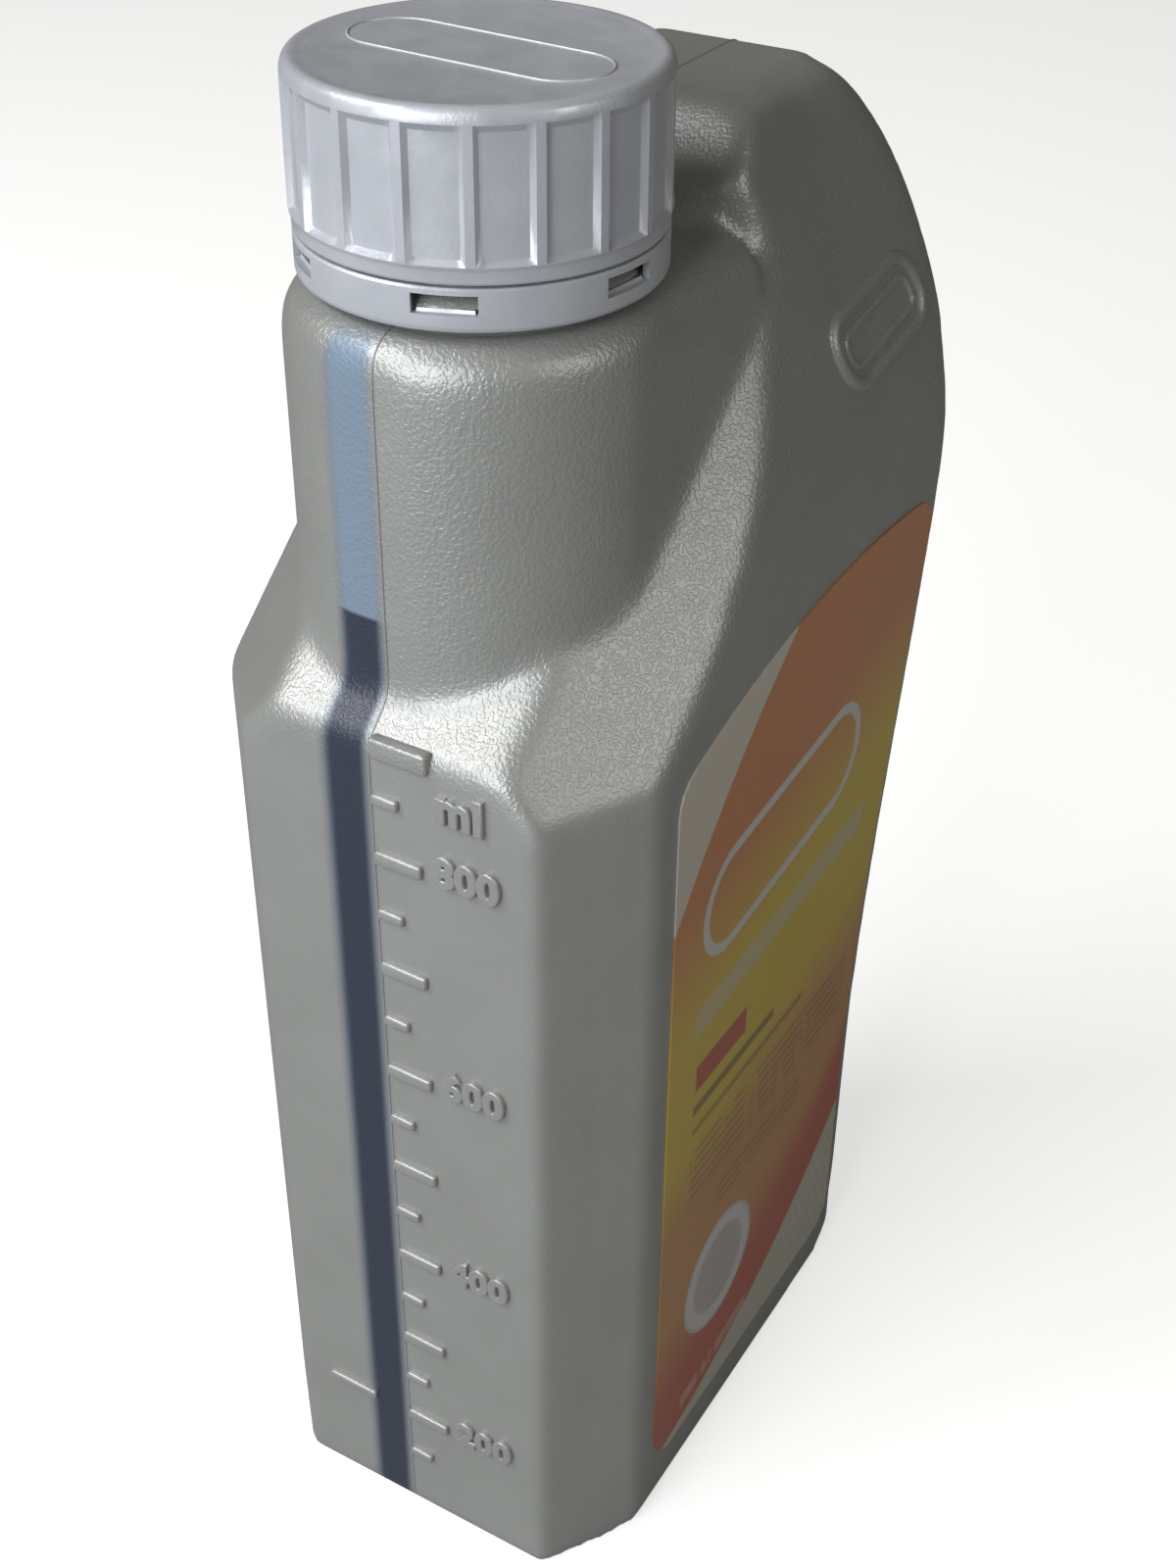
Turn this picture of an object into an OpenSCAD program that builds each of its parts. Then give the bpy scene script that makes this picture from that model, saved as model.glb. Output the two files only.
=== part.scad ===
// One litre fluid bottle: a blown flat bottle with an offset spout, a view stripe and a raised scale,
// closed by a screw cap with a tamper ring. Millimetres, +Z up, scale face towards -X,
// label faces towards -Y and +Y, origin under the middle of the bottle on the surface it stands on.

/* [Body] */
// Depth of the bottle from the scale face to the back of the grip
body_d = 110; // [105:1:117]
// Depth of the bottle at its base
base_d = 93; // [88:1:100]
// Thickness of the bottle between its two label faces
body_t = 69; // [64:1:76]
// Width of the scale face between its chamfers
face_w = 45.4; // [40:0.2:50]
// Shift of the scale face from under the spout towards the side of its marks
face_shift = 2.4; // [0:0.2:4]
// Depth of the two chamfers beside the scale face
chamfer_d = 15.5; // [10:0.5:18]
// Radius along the foot of the bottle
base_r = 2; // [1.6:0.2:4]
// Thickness of the blown wall
wall = 1; // [0.7:0.05:1.4]
// Height at which the back starts to lean out
back_z = 43; // [30:1:60]

/* [Shoulder] */
// Height of the shoulder above the scale face
shoulder_z = 153; // [145:0.5:158]
// Slope of the shoulder in degrees
shoulder_a = 40; // [36:1:44]
// Width of the middle facet of the shoulder
facet_w = 36; // [31:1:40]
// Fall of the side facet of the shoulder on the marked side in degrees
facet_a = 44; // [38:1:48]
// Fall of the side facet on the plain side in degrees
facet_far_a = 38; // [34:1:44]

/* [Grip] */
// Height of the top of the grip
grip_z = 218; // [213:0.5:222]
// Height at which the label faces start to lean in towards the grip
lean_z = 155; // [145:0.5:165]
// Radius of the curve into that lean
lean_r = 85; // [65:1:100]
// Lean of the grip's sides in degrees
lean_a = 20; // [16:1:22]
// Radius of the back over the top of the grip
back_r = 37; // [35:1:44]
// Height of the point of the back that reaches furthest
back_top_z = 187.5; // [182:0.5:192]
// Radius between the grip's sides and its top
crown_r = 5; // [2:0.5:7]
// Slope of the grip's front in degrees
grip_a = 43; // [38:1:55]
// Radius of the grip's front seen from above
grip_r = 33; // [29:1:39]

/* [Spout column] */
// Distance of the spout's axis from the scale face
spout_x = 29.7; // [28.5:0.1:31]
// Radius of the column under the spout
column_r = 24.9; // [24:0.1:25.8]
// Height of the column's flat top
column_z = 205.5; // [202:0.5:208]
// Radius of the column's rim
rim_r = 5.5; // [3:0.5:5.5]

/* [Neck] */
// Outer radius of the neck
neck_r = 19.2; // [18.2:0.1:19.6]
// Radius of the mouth
mouth_r = 17; // [15:0.1:17.6]
// Outer radius of the bead that holds the tamper ring
bead_r = 21.1; // [20.8:0.1:21.3]
// Height of the bead
bead_h = 1.6; // [1:0.1:2]

/* [Cap] */
// Radius of the cap between its ribs
cap_r = 22.2; // [22:0.1:22.6]
// Radius over the ribs of the cap
rib_r = 23; // [22.8:0.1:23.5]
// Number of ribs round the cap
ribs = 18; // [12:1:30]
// Turn of the ribs about the spout's axis in degrees
rib_turn = 10; // [0:1:20]
// Width of one rib
rib_w = 1.3; // [0.8:0.1:2]
// Height of the cap
cap_h = 19.8; // [18.4:0.2:22.4]
// Radius of the cap's upper edge
cap_edge_r = 1.8; // [1:0.1:2.4]
// Thickness of the cap's top
cap_top_t = 1.6; // [1.2:0.1:2.2]
// Inner radius of the cap's skirt
cap_bore_r = 20.6; // [20.4:0.1:20.9]
// Height of the rim band at the foot of the cap
band_h = 2.4; // [1.5:0.1:3.5]

/* [Tamper ring] */
// Outer radius of the tamper ring and of the cap's rim band
ring_r = 22.7; // [22.6:0.1:23]
// Height of the tamper ring
ring_h = 5.4; // [4.8:0.1:5.8]
// Thickness of the tamper ring
ring_t = 1; // [0.7:0.05:1.1]
// Number of windows in the ring
windows = 6; // [4:1:10]
// Turn of the windows about the spout's axis in degrees
window_turn = 22; // [0:1:60]
// Width of one window
window_w = 8; // [4:0.5:9]
// Height of one window
window_h = 2; // [1:0.1:2.4]

/* [Seals and contents] */
// Thickness of the wad in the cap
liner_t = 1; // [0.6:0.1:1.6]
// Thickness of the foil over the mouth
foil_t = 0.2; // [0.1:0.05:0.4]
// Height of the fluid's surface
fluid_z = 168; // [100:1:175]

/* [Labels] */
// Distance of the labels from the scale face
label_x = 20.5; // [19:0.5:27]
// Height of the labels' lower edge
label_z = 9.5; // [7:0.5:16]
// Drop of the labels' arched top below the start of the lean
label_drop = 0; // [0:1:30]
// Distance of the labels from the back
label_edge = 7; // [5:0.5:12]
// Radius of the labels' corners
label_r = 6; // [2:0.5:9]
// Thickness of a label
label_t = 0.25; // [0.1:0.05:0.5]

/* [Scale] */
// Height of the mark for 200 ml
mark_z = 23.3; // [20:0.1:25]
// Rise of the scale for each 100 ml
mark_step = 18.7; // [15:0.1:18.9]
// Height that the marks stand proud
mark_h = 0.5; // [0.3:0.1:0.8]
// Width of one mark
mark_w = 1.5; // [1:0.1:2.2]
// Length of the marks at each 100 ml
long_l = 7.4; // [5:0.2:9]
// Length of the marks between them
short_l = 4.1; // [2:0.1:5]

/* [Fits] */
// Clearance under and beside the tamper ring, and between it and the cap
ring_gap = 0.3; // [0.2:0.05:0.5]
// Running clearance between the wad and the cap
run_gap = 0.05; // [0.02:0.01:0.1]
// Clearance between the wad and the foil
seal_gap = 0.1; // [0.05:0.05:0.3]
// Film of air between the fluid and the wall
fluid_gap = 0.1; // [0.05:0.05:0.3]

/* [Hidden] */
$fn = 96;
FAR = 300;
mid_x = (body_d - mark_h) / 2;
side_y = body_t / 2;
// the ring rests on its lip a little above the column
ring_z = column_z + 3 * ring_gap;
cap_z = ring_z + ring_h + ring_gap;
cap_top = cap_z + cap_h;
liner_z = cap_top - cap_top_t - run_gap - liner_t;
foil_z = liner_z - seal_gap - foil_t;
// the ring's inner lip, which the bead on the neck holds down
lip_h = 2;
lip_r = neck_r + ring_gap + 1;
window_z = lip_h + 0.6;
// height over which the cap's rim band runs into its side
flare_h = 1;
// how far a cut runs past the solid, and a piece into the one that it grows from
over = 1;
bead_z = ring_z + lip_h + ring_gap / 2;
grip_x = spout_x + rib_r + 4 * ring_gap;
// how far the grip reaches down past the shelf, the column's foot, and the walls that tie it to the grip
grip_low = 12;
column_foot = 130;
tie_over = 4;
tie_y = column_r - 0.4;
// centre of the circle along the labels' top, and its radius
arch_r = 159;
arch_c = [75, lean_z - label_drop - arch_r];
// the scale: the gap between its marks and the seam, the block at the shoulder, and the lone mark
mark_y = -0.8;
block_l = long_l + 1.2;
block_w = mark_w * 1.6;
lone_y = 14.9;
lone_l = 9.2;
curve_steps = 14;

function unit(v) = v / norm(v);
function left(v) = [-v.y, v.x];
function arc(c, r, a, b, n) = [for (i = [0:n]) c + r * [cos(a + (b - a) * i / n), sin(a + (b - a) * i / n)]];
// moves each side of a counter-clockwise outline inwards by d
function inset(p, d) = [for (i = [0:len(p) - 1])
    let (n = len(p), u = left(unit(p[i] - p[(i + n - 1) % n])), v = left(unit(p[(i + 1) % n] - p[i])))
    p[i] + d * (u + v) / (1 + u * v)];
// depth of the back at height z: upright, then an easy curve out to the grip
function back_x(z) = base_d
    + (body_d - base_d) * (1 - cos(180 * min(1, max(0, (z - back_z) / (back_top_z - back_z))))) / 2;
back_end_a = asin((grip_z - back_top_z) / back_r);
function side_outline() = concat(
    arc([base_r, base_r], base_r, 180, 270, 5),
    arc([base_d - base_r, base_r], base_r, 270, 360, 5),
    [for (i = [0:curve_steps - 1])
        let (z = back_z + (back_top_z - back_z) * i / curve_steps) [back_x(z), z]],
    arc([body_d - back_r, back_top_z], back_r, 0, back_end_a, 9),
    [[0, grip_z]]);
// half thickness where the curve into the lean ends, and at the top of the grip
lean_y = side_y - lean_r * (1 - cos(lean_a));
lean_end_z = lean_z + lean_r * sin(lean_a);
crown_c = [lean_y - (grip_z - crown_r - lean_end_z) * tan(lean_a) - crown_r / cos(lean_a), grip_z - crown_r];
function half_front() = concat(
    arc([side_y - base_r, base_r], base_r, 270, 360, 5),
    arc([side_y - lean_r, lean_z], lean_r, 0, lean_a, 7),
    arc(crown_c, crown_r, lean_a, 90, 5));
function mirrored(p) = concat(p, [for (i = [len(p) - 1:-1:0]) [-p[i].x, p[i].y]]);
function plan_outline() = [
    [0, -face_w / 2 - face_shift], [chamfer_d, -side_y], [body_d + 10, -side_y],
    [body_d + 10, side_y], [chamfer_d, side_y], [0, face_w / 2 - face_shift]];
facet_run = 50;
facet_l = -facet_w / 2 - face_shift;
facet_r = facet_w / 2 - face_shift;
function roof_outline() = [
    [facet_l - facet_run, -FAR], [facet_r + facet_run, -FAR],
    [facet_r + facet_run, -facet_run * tan(facet_far_a)], [facet_r, 0],
    [facet_l, 0], [facet_l - facet_run, -facet_run * tan(facet_a)]];

// an outline in X and Z, drawn across the bottle
module across(p) {
    translate([0, FAR / 2, 0]) rotate([90, 0, 0]) linear_extrude(FAR) polygon(p);
}
// an outline in Y and Z, drawn along the bottle from x
module along(p, x = -FAR / 2, l = FAR) {
    translate([x, 0, 0]) rotate([90, 0, 90]) linear_extrude(l) polygon(p);
}

// The solids below are the bottle's outer form for d = 0, and its cavity for d = wall.
module slab(d) {
    intersection() {
        across(inset(side_outline(), d));
        along(inset(mirrored(half_front()), d));
    }
}
module lower(d) {
    intersection() {
        slab(d);
        linear_extrude(FAR) polygon(inset(plan_outline(), d));
        translate([0, 0, shoulder_z]) rotate([0, -shoulder_a, 0]) along(inset(roof_outline(), d));
    }
}
// the shelf round the neck and the slanted front of the grip, with all that lies below and behind them
function top_outline() = [
    [-over, -over], [FAR, -over], [FAR, column_z + (FAR - grip_x) * tan(grip_a)],
    [grip_x, column_z], [-over, column_z]];
module grip(d) {
    intersection() {
        slab(d);
        translate([0, 0, column_z - grip_low]) linear_extrude(FAR) union() {
            translate([grip_x + grip_r, 0]) circle(grip_r - d);
            translate([grip_x + grip_r, d - grip_r]) square([FAR, 2 * (grip_r - d)]);
        }
    }
}
module column(d) {
    translate([spout_x, 0, 0]) rotate_extrude() polygon(concat(
        [[0, column_foot], [column_r - d, column_foot]],
        arc([column_r - rim_r, column_z - rim_r], rim_r - d, 0, 90, 6),
        [[0, column_z - d]]));
}
// the straight walls that tie the column to the grip
module column_back(d) {
    along(mirrored(concat([[tie_y - d, column_foot]],
        arc([tie_y - rim_r, column_z - rim_r], rim_r - d, 0, 90, 6))), spout_x, grip_x + tie_over - spout_x);
}
module form(d) {
    intersection() {
        union() {
            lower(d);
            grip(d);
        }
        across(inset(top_outline(), d));
    }
    column(d);
    column_back(d);
}

// a bar of the scale, from y to y - l, at height z
module bar(y, l, z, w = mark_w, h = mark_h) {
    translate([-h, y - l, z - w / 2]) cube([h + wall / 2, l, w]);
}
module scale_marks() {
    for (ml = [150:50:850]) {
        z = mark_z + (ml - 200) / 100 * mark_step;
        bar(mark_y, ml % 100 == 0 ? long_l : short_l, z);
    }
    bar(mark_y, block_l, shoulder_z - block_w / 2, block_w);
    bar(lone_y, lone_l, mark_z);
}
module neck() {
    translate([spout_x, 0, 0]) rotate_extrude() polygon([
        [mouth_r, column_z - wall], [neck_r, column_z - wall], [neck_r, bead_z], [bead_r, bead_z],
        [neck_r, bead_z + bead_h], [neck_r, foil_z], [mouth_r, foil_z]]);
}
module bottle() {
    color([0.62, 0.64, 0.61]) translate([-mid_x, 0, 0]) union() {
        difference() {
            union() {
                form(0);
                scale_marks();
            }
            form(wall);
            translate([spout_x, 0, column_foot]) cylinder(r = mouth_r, h = FAR);
        }
        neck();
    }
}
module transmission_fluid() {
    color([0.45, 0.1, 0.08]) translate([-mid_x, 0, 0]) intersection() {
        form(wall + fluid_gap);
        translate([-FAR / 2, -FAR / 2, 0]) cube([FAR, FAR, fluid_z]);
    }
}
module foil_seal() {
    color([0.8, 0.8, 0.82]) translate([spout_x - mid_x, 0, foil_z]) cylinder(r = neck_r, h = foil_t);
}
module tamper_ring() {
    in_r = ring_r - ring_t;
    color([0.66, 0.67, 0.71]) translate([spout_x - mid_x, 0, ring_z]) difference() {
        rotate_extrude() polygon([
            [lip_r, 0], [ring_r, 0], [ring_r, ring_h], [in_r, ring_h], [in_r, lip_h], [lip_r, lip_h]]);
        for (i = [0:windows - 1]) {
            rotate([0, 0, window_turn + 360 / windows * i]) translate([in_r - over, -window_w / 2, window_z])
                cube([ring_t + 2 * over, window_w, window_h]);
        }
    }
}
module cap_liner() {
    color([0.93, 0.93, 0.9]) translate([spout_x - mid_x, 0, liner_z])
        cylinder(r = cap_bore_r - ring_gap, h = liner_t);
}
module screw_cap() {
    rib_top = cap_h - cap_edge_r - 1;
    color([0.66, 0.67, 0.71]) translate([spout_x - mid_x, 0, cap_z]) difference() {
        union() {
            rotate_extrude() polygon(concat(
                [[0, 0], [ring_r, 0], [ring_r, band_h], [cap_r, band_h + flare_h]],
                arc([cap_r - cap_edge_r, cap_h - cap_edge_r], cap_edge_r, 0, 90, 6),
                [[0, cap_h]]));
            for (i = [0:ribs - 1]) {
                rotate([0, 0, rib_turn + 360 / ribs * i]) translate([cap_r - over, -rib_w / 2, band_h / 2])
                    cube([rib_r - cap_r + over, rib_w, rib_top - band_h / 2]);
            }
        }
        translate([0, 0, -over]) cylinder(r = cap_bore_r, h = cap_h - cap_top_t + over);
    }
}
// a corner's circle, touching the arch of the labels' top from below, and the angle at which it does
function corner(x) = [x, arch_c.y + sqrt(pow(arch_r - label_r, 2) - pow(x - arch_c.x, 2))];
function touch(c) = atan2(c.y - arch_c.y, c.x - arch_c.x);
front_corner = corner(label_x + label_r);
back_corner = corner(back_x(arch_c.y + arch_r) - label_edge - label_r);
// the labels' outline: it follows the back, and its top is a shallow arch
function label_outline() = concat(
    arc([label_x + label_r, label_z + label_r], label_r, 180, 270, 5),
    arc([base_d - label_edge - label_r, label_z + label_r], label_r, 270, 360, 5),
    [for (i = [0:curve_steps - 1])
        let (z = back_z + (back_corner.y - back_z) * i / curve_steps) [back_x(z) - label_edge, z]],
    arc(back_corner, label_r, 0, touch(back_corner), 5),
    [for (i = [1:curve_steps - 1])
        let (a = touch(back_corner) + (touch(front_corner) - touch(back_corner)) * i / curve_steps)
        arch_c + arch_r * [cos(a), sin(a)]],
    arc(front_corner, label_r, touch(front_corner), 180, 4));
module label(y) {
    translate([-mid_x, y, 0]) rotate([90, 0, 0]) linear_extrude(label_t) polygon(label_outline());
}
module front_label() {
    color([0.86, 0.45, 0.15]) label(-side_y);
}
module back_label() {
    color([0.86, 0.5, 0.2]) label(side_y + label_t);
}

bottle();
transmission_fluid();
foil_seal();
tamper_ring();
cap_liner();
screw_cap();
front_label();
back_label();
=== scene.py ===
import math

import bmesh
import bpy
from mathutils import Matrix, Vector


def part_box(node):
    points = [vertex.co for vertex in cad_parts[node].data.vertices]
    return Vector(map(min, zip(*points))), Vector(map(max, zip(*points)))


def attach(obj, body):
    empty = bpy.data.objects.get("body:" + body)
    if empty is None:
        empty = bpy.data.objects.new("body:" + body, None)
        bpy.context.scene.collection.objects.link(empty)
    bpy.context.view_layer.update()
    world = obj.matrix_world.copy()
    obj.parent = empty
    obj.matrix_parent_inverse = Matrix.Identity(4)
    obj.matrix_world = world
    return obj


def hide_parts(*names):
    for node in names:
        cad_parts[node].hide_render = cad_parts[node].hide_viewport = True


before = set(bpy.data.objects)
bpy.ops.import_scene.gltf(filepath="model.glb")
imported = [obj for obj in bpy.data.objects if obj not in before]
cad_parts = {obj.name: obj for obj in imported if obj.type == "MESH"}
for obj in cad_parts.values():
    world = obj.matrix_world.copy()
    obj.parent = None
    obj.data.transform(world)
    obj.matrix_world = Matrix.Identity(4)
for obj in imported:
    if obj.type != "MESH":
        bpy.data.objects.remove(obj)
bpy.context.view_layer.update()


# The room: a pale floor under the bottle, a broad lamp in front of the scale face, one above, and a
# weak one towards the label. The surround is white to the camera and dim and warm to all other rays.
MM = 0.001
scene = bpy.context.scene
scene.view_settings.view_transform = "Standard"
MARK_H = 0.5 * MM
face_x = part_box("bottle")[0][0] + MARK_H

CAMERA_AT = Vector((-174.1 * MM + face_x, -134.9 * MM, 300.3 * MM))
CAMERA_YAW = math.radians(30.37)
CAMERA_PITCH = math.radians(35.05)
CAMERA_ROLL = math.radians(0.56)
CAMERA_FOCAL = 2134.4
PHOTO_H = 1600
SENSOR = 36


class Value:
    """A node's output. Arithmetic on it adds Math nodes; node() adds any other node."""

    def __init__(self, socket):
        self.socket = socket

    def node(self, kind, values, output=0, stops=None, **settings):
        tree = self.socket.id_data
        made = tree.nodes.new(kind)
        for name, setting in settings.items():
            setattr(made, name, setting)
        if stops:
            ramp = made.color_ramp.elements
            while len(ramp) < len(stops):
                ramp.new(0.5)
            for stop, (place, colour) in zip(ramp, stops):
                stop.position = place
                stop.color = (*colour, 1)
        for name, value in values.items():
            target = made.inputs[name]
            if isinstance(value, Value):
                tree.links.new(value.socket, target)
            else:
                target.default_value = (*value, 1) if target.type == "RGBA" else value
        return Value(made.outputs[output])

    def math(self, operation, *values):
        return self.node("ShaderNodeMath", dict(enumerate(values)), operation=operation)

    def __add__(self, other):
        return self.math("ADD", self, other)

    def __sub__(self, other):
        return self.math("SUBTRACT", self, other)

    def __rsub__(self, other):
        return self.math("SUBTRACT", other, self)

    def __mul__(self, other):
        return self.math("MULTIPLY", self, other)

    def __truediv__(self, other):
        return self.math("DIVIDE", self, other)

    __radd__ = __add__
    __rmul__ = __mul__

    def power(self, other):
        return self.math("POWER", self, other)

    def sine(self):
        return self.math("SINE", self)

    def size(self):
        return self.math("ABSOLUTE", self)

    def above(self, level, blur):
        """0 below the level and 1 above it, over a soft step of the given width."""
        step = {"Value": self, "From Min": level - blur / 2, "From Max": level + blur / 2}
        return self.node("ShaderNodeMapRange", step, interpolation_type="SMOOTHSTEP")

    def below(self, level, blur):
        return 1 - self.above(level, blur)

    def between(self, low, high, blur):
        return self.above(low, blur) * self.below(high, blur)

    def blend(self, first, second):
        """first where this value is 0 and second where it is 1; both are colours."""
        return self.node("ShaderNodeMix", {0: self, 6: first, 7: second}, output=2, data_type="RGBA")


class Finish:
    """A new material with its shader, and the surface's own coordinates in millimetres."""

    def __init__(self, name, **constants):
        self.material = bpy.data.materials.new(name)
        self.material.use_nodes = True
        self.tree = self.material.node_tree
        self.shader = self.tree.nodes["Principled BSDF"]
        self.place = Value(self.tree.nodes.new("ShaderNodeTexCoord").outputs["Object"])
        split = self.tree.nodes.new("ShaderNodeSeparateXYZ")
        self.tree.links.new(self.place.socket, split.inputs[0])
        self.x, self.y, self.z = (Value(output) * 1000 for output in split.outputs)
        for socket, constant in constants.items():
            self.feed(socket.replace("_", " "), constant)

    def feed(self, socket, value):
        if isinstance(value, Value):
            self.tree.links.new(value.socket, self.shader.inputs[socket])
        elif isinstance(value, tuple):
            self.shader.inputs[socket].default_value = (*value, 1)
        else:
            self.shader.inputs[socket].default_value = value

    def noise(self, size, detail=2.0, rough=0.5, stretch=(1, 1, 1)):
        """Noise whose spots are about size millimetres across, drawn out along an axis by stretch."""
        turned = self.place.node("ShaderNodeMapping", {"Vector": self.place, "Scale": stretch})
        return self.place.node("ShaderNodeTexNoise", {"Vector": turned, "Scale": 1 / (size * MM),
                                                      "Detail": detail, "Roughness": rough})

    def bump(self, height, depth, strength=1.0):
        """Relief of depth millimetres where height goes from 0 to 1."""
        self.feed("Normal", self.place.node("ShaderNodeBump", {"Height": height, "Distance": depth * MM,
                                                               "Strength": strength}))


look = Vector((math.cos(CAMERA_YAW) * math.cos(CAMERA_PITCH), math.sin(CAMERA_YAW) * math.cos(CAMERA_PITCH),
               -math.sin(CAMERA_PITCH)))
level_right = Vector((math.sin(CAMERA_YAW), -math.cos(CAMERA_YAW), 0))
level_up = level_right.cross(look)
right = level_right * math.cos(CAMERA_ROLL) + level_up * math.sin(CAMERA_ROLL)
camera_data = bpy.data.cameras.new("camera")
camera_data.sensor_fit = "VERTICAL"
camera_data.sensor_height = SENSOR
camera_data.lens = CAMERA_FOCAL / PHOTO_H * SENSOR
camera_data.clip_start = 10 * MM
camera = bpy.data.objects.new("camera", camera_data)
camera_turn = Matrix((right, right.cross(look), -look)).transposed().to_4x4()
camera.matrix_world = Matrix.Translation(CAMERA_AT) @ camera_turn
scene.collection.objects.link(camera)
scene.camera = camera

AMBIENT = 0.09
WARM = (1.0, 0.955, 0.80)
WHITE = (1.0, 1.0, 1.0)
LAMP_AIM = Vector((0, 0, 0.12))
LAMP_AWAY = 1.1
FLOOR_HALF = 3.0
FLOOR_GLOW = 0.6
FLOOR_SHADE = (0.3, 0.3, 0.3)
FLOOR_SEEN = (0.8, 0.8, 0.8)
world = bpy.data.worlds.new("surround")
world.use_nodes = True
scene.world = world
background = world.node_tree.nodes["Background"]
rays = world.node_tree.nodes.new("ShaderNodeLightPath")
seen = Value(rays.outputs["Is Camera Ray"])
world_level = seen * (1 - AMBIENT) + AMBIENT
world_colour = seen.blend(WARM, WHITE)
world.node_tree.links.new(world_level.socket, background.inputs["Strength"])
world.node_tree.links.new(world_colour.socket, background.inputs["Color"])


def lamp(name, direction, width, watts, colour):
    """A square area lamp that faces the bottle's middle from the given direction."""
    data = bpy.data.lights.new(name, "AREA")
    data.size = width
    data.energy = watts
    data.color = colour
    made = bpy.data.objects.new(name, data)
    toward = Vector(direction).normalized()
    made.location = LAMP_AIM + toward * LAMP_AWAY
    made.rotation_euler = (-toward).to_track_quat("-Z", "Y").to_euler()
    scene.collection.objects.link(made)


lamp("window", (-0.916, 0.09, 0.39), 0.7, 9.2, (0.95, 0.985, 1.0))
lamp("ceiling", (-0.50, 0.51, 0.70), 0.45, 6.4, WHITE)
lamp("side", (-0.08, -0.88, 0.47), 0.4, 1.8, (1.0, 0.99, 0.93))

floor_mesh = bmesh.new()
bmesh.ops.create_grid(floor_mesh, x_segments=1, y_segments=1, size=FLOOR_HALF)
floor_data = bpy.data.meshes.new("floor")
floor_mesh.to_mesh(floor_data)
floor_mesh.free()
floor = bpy.data.objects.new("floor", floor_data)
scene.collection.objects.link(floor)
pale = Finish("pale floor", Roughness=0.9, Emission_Color=WHITE)
floor_seen = Value(pale.tree.nodes.new("ShaderNodeLightPath").outputs["Is Camera Ray"])
pale.feed("Base Color", floor_seen.blend(FLOOR_SHADE, FLOOR_SEEN))
pale.feed("Emission Strength", floor_seen * FLOOR_GLOW)
floor_data.materials.append(pale.material)


# The bottle's skin: one blown piece of pearly grey plastic with a fine leather grain, so every edge of
# its form is soft. A clear stripe beside the seam shows the fluid. Its foot is pushed up between the edges.
VOXEL = 1.0 * MM
FOOT_STEPS = 3
FOOT_BACK_STEPS = 40
FOOT_BACK_X = 30 * MM
FOOT_BACK_Z = 14 * MM
STAGES = 8
FACE_STEPS = 1
CORNER_STEPS = 7
FOOT_LOW = 1.5 * MM
FOOT_RISE = 1.5 * MM
BACK_X = 18 * MM
BACK_SHIFT = 1 * MM
BACK_Y = 12 * MM
PUSH_UP = 1.6 * MM
PUSH_BACK_X = 38 * MM
PUSH_CORNER_X = 31 * MM
PUSH_CORNER_Y = 25 * MM
PUSH_FROM = 6 * MM
PUSH_TO = 13 * MM
LOWERED_TO = 12 * MM
NECK_REACH = 2.2 * MM
RING_ABOVE_SHELF = 0.9 * MM
HAIR = 0.1 * MM
GRAIN = 0.54
GRAIN_FINE = 0.33
GRAIN_DEPTH = 0.055
GRAIN_FROM = 150
GRAIN_TO = 215
CLOUD = 14
PEARL_METAL = 0.42
PEARL_DARK = (0.358, 0.362, 0.352)
PEARL_LIGHT = (0.386, 0.391, 0.38)
STRIPE_RIGHT = 0.6
STRIPE_LEFT = 6.1
STRIPE_METAL_LESS = 0.36
neck_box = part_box("foil_seal")
spout_x = (neck_box[0][0] + neck_box[1][0]) / 2
neck_r = (neck_box[1][0] - neck_box[0][0]) / 2
shelf_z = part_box("tamper_ring")[0][2] - RING_ABOVE_SHELF
fluid_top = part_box("transmission_fluid")[1][2]
bottle_high = Vector(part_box("bottle")[1])


def in_object(name, mesh_or_bm):
    """A new object at the origin that holds the mesh, smooth-shaded."""
    if isinstance(mesh_or_bm, bmesh.types.BMesh):
        mesh = bpy.data.meshes.new(name)
        mesh_or_bm.to_mesh(mesh)
        mesh_or_bm.free()
    else:
        mesh = mesh_or_bm
    made = bpy.data.objects.new(name, mesh)
    scene.collection.objects.link(made)
    mesh.shade_smooth()
    return made


def settle(piece):
    """Applies the piece's modifiers to its mesh."""
    shape = bpy.data.meshes.new_from_object(piece.evaluated_get(bpy.context.evaluated_depsgraph_get()))
    piece.modifiers.clear()
    piece.data = shape
    shape.shade_smooth()


def closed_copy(node):
    """The CAD node's mesh as a bmesh, with the loose triangles joined."""
    bm = bmesh.new()
    bm.from_mesh(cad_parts[node].data)
    bmesh.ops.remove_doubles(bm, verts=bm.verts, dist=1e-6)
    return bm


def remeshed(name, bm, voxel):
    """An even mesh over the closed surface, as an object."""
    made = in_object(name, bm)
    remesh = made.modifiers.new("even", "REMESH")
    remesh.mode = "VOXEL"
    remesh.voxel_size = voxel
    settle(made)
    return made


def connected(start):
    """All the vertices joined to this one by edges."""
    found = {start}
    queue = [start]
    while queue:
        for edge in queue.pop().link_edges:
            for vert in edge.verts:
                if vert not in found:
                    found.add(vert)
                    queue.append(vert)
    return found


def soften(bm, verts, steps):
    """Draws each vertex half way to the middle of its neighbours, as often as steps says."""
    for _ in range(steps):
        bmesh.ops.smooth_vert(bm, verts=verts, factor=0.5, use_axis_x=True, use_axis_y=True, use_axis_z=True)


def ramp01(value, low, high):
    """0 at low and 1 at high, with an easy curve between."""
    t = min(1, max(0, (value - low) / (high - low)))
    return t * t * (3 - 2 * t)


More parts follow.
